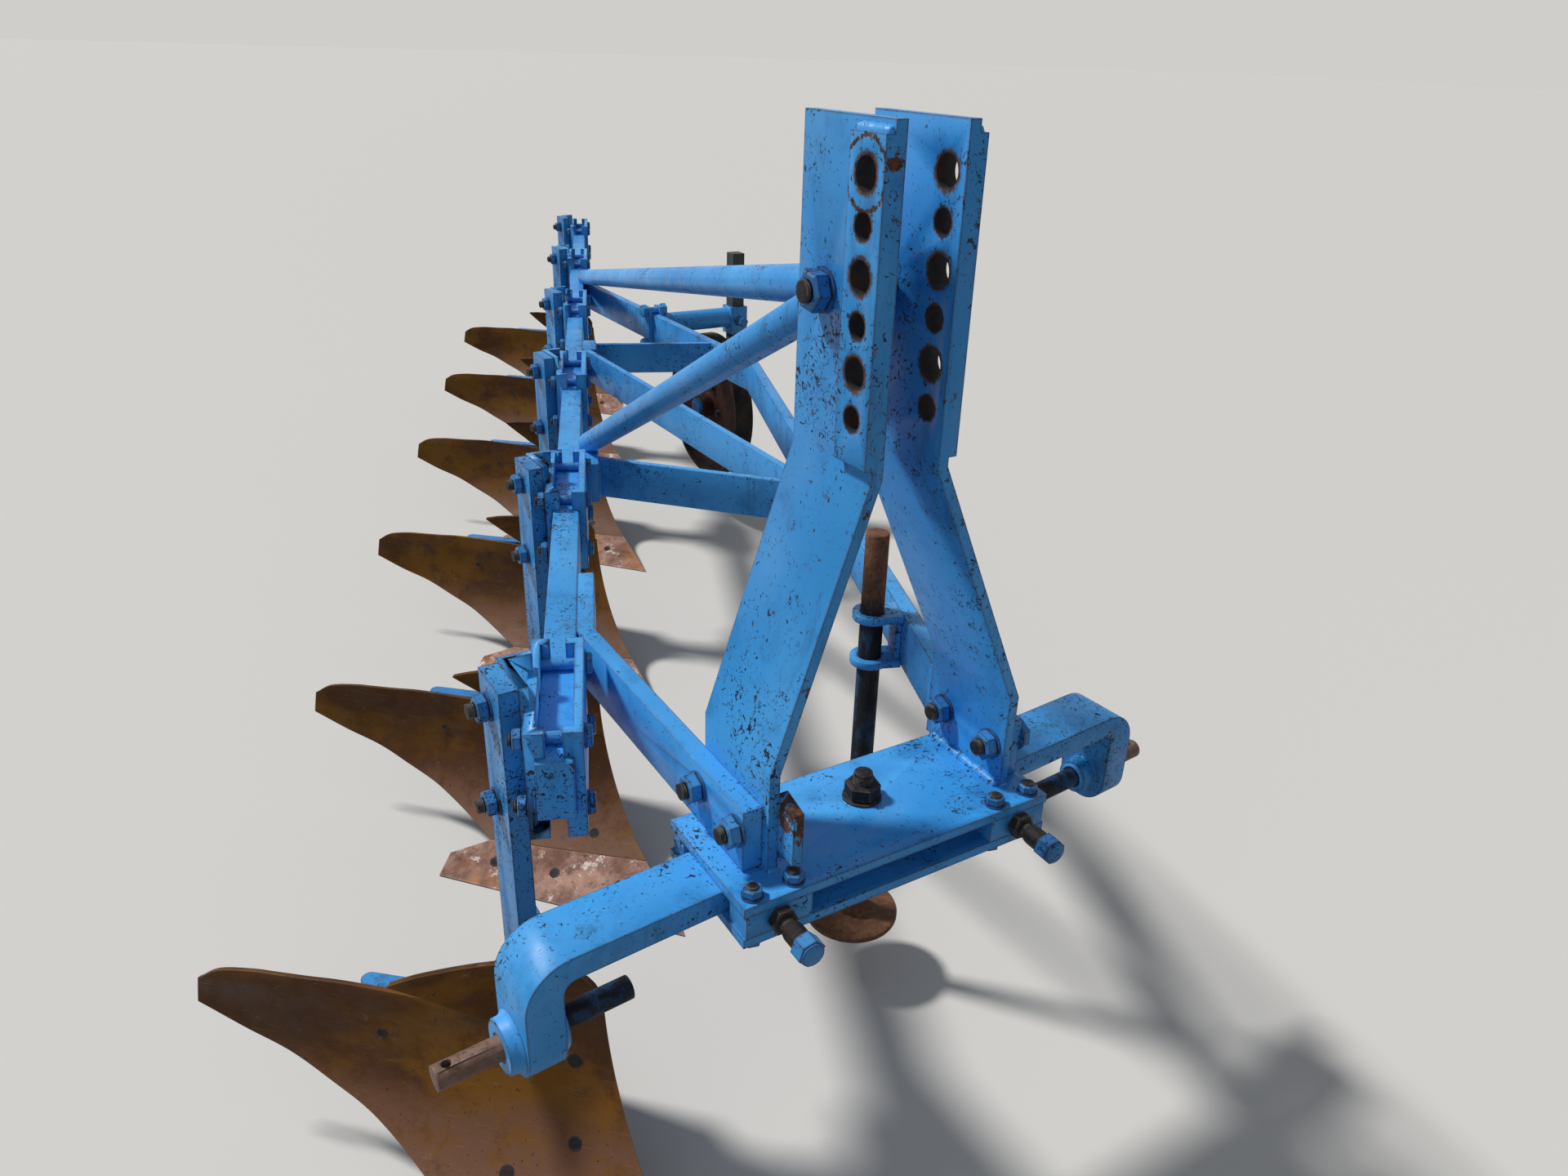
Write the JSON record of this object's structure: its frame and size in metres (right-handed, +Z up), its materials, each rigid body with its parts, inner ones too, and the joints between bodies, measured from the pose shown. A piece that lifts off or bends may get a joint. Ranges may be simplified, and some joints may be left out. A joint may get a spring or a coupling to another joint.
{
  "type": "moldboard plough",
  "caption": "Mounted mouldboard plough with bodies staggered along one diagonal beam, a tall headstock, a cranked cross shaft, a depth wheel and a parking stand.",
  "frame": {"origin": "middle of the plough's box, on the ground", "axes": "+Z up, -Y towards the tractor, +X towards the unploughed land"},
  "size_m": [2.0086, 4.3048, 1.382],
  "materials": {
    "frame_paint": "satin",
    "bolt_paint": "satin",
    "board_steel": "matte",
    "share_steel": "matte",
    "worn_steel": "matte",
    "rusty_steel": "matte",
    "dark_steel": "matte"
  },
  "bodies": {
    "frame": {"beam": "frame_paint", "bracket_1": "frame_paint", "bracket_2": "frame_paint", "bracket_3": "frame_paint", "bracket_4": "frame_paint", "bracket_5": "frame_paint", "bracket_6": "frame_paint", "clamp_plates": "frame_paint", "clamp_bolts": "bolt_paint", "leg_1": "frame_paint", "leg_2": "frame_paint", "leg_3": "frame_paint", "leg_4": "frame_paint", "leg_5": "frame_paint", "leg_6": "frame_paint", "leg_bolts": "bolt_paint", "frog_1": "frame_paint", "frog_2": "frame_paint", "frog_3": "frame_paint", "frog_4": "frame_paint", "frog_5": "frame_paint", "frog_6": "frame_paint", "landsides": "worn_steel", "share_1": "share_steel", "share_2": "share_steel", "share_3": "share_steel", "share_4": "share_steel", "share_5": "share_steel", "share_6": "share_steel", "mouldboard_1": "board_steel", "mouldboard_2": "board_steel", "mouldboard_3": "board_steel", "mouldboard_4": "board_steel", "mouldboard_5": "board_steel", "mouldboard_6": "board_steel", "trashboards": "board_steel", "front_brace": "frame_paint", "long_bar": "frame_paint", "strut_front": "frame_paint", "strut_rear": "frame_paint", "diagonal": "frame_paint", "beam_pads": "frame_paint", "headstock_left": "frame_paint", "headstock_right": "frame_paint", "brace_lower": "frame_paint", "brace_upper": "frame_paint", "brace_bolt": "bolt_paint", "foot_bolts": "bolt_paint", "hitch_top": "frame_paint", "hitch_bottom": "frame_paint", "hitch_spacers": "frame_paint", "hitch_bolts": "rusty_steel", "cross_shaft": "frame_paint", "link_pins": "rusty_steel", "stand_bracket": "frame_paint", "wheel_arm": "frame_paint"},
    "stand": {"stand": "rusty_steel"},
    "mast": {"wheel_mast": "dark_steel"},
    "wheel": {"depth_wheel": "dark_steel"}
  },
  "joints": [
    {"name": "stand_slide", "type": "slide", "parent": "frame", "child": "stand", "axis": [0, 0, 1], "range_m": [-0.11, 0.4]},
    {"name": "depth_slide", "type": "slide", "parent": "frame", "child": "mast", "axis": [0, 0, 1], "range_m": [-0.145, 0.015]},
    {"name": "wheel_spin", "type": "hinge", "parent": "mast", "child": "wheel", "pos_m": [0.72269, 0.32007, 0.375], "axis": [1, 0, 0], "continuous": true}
  ]
}
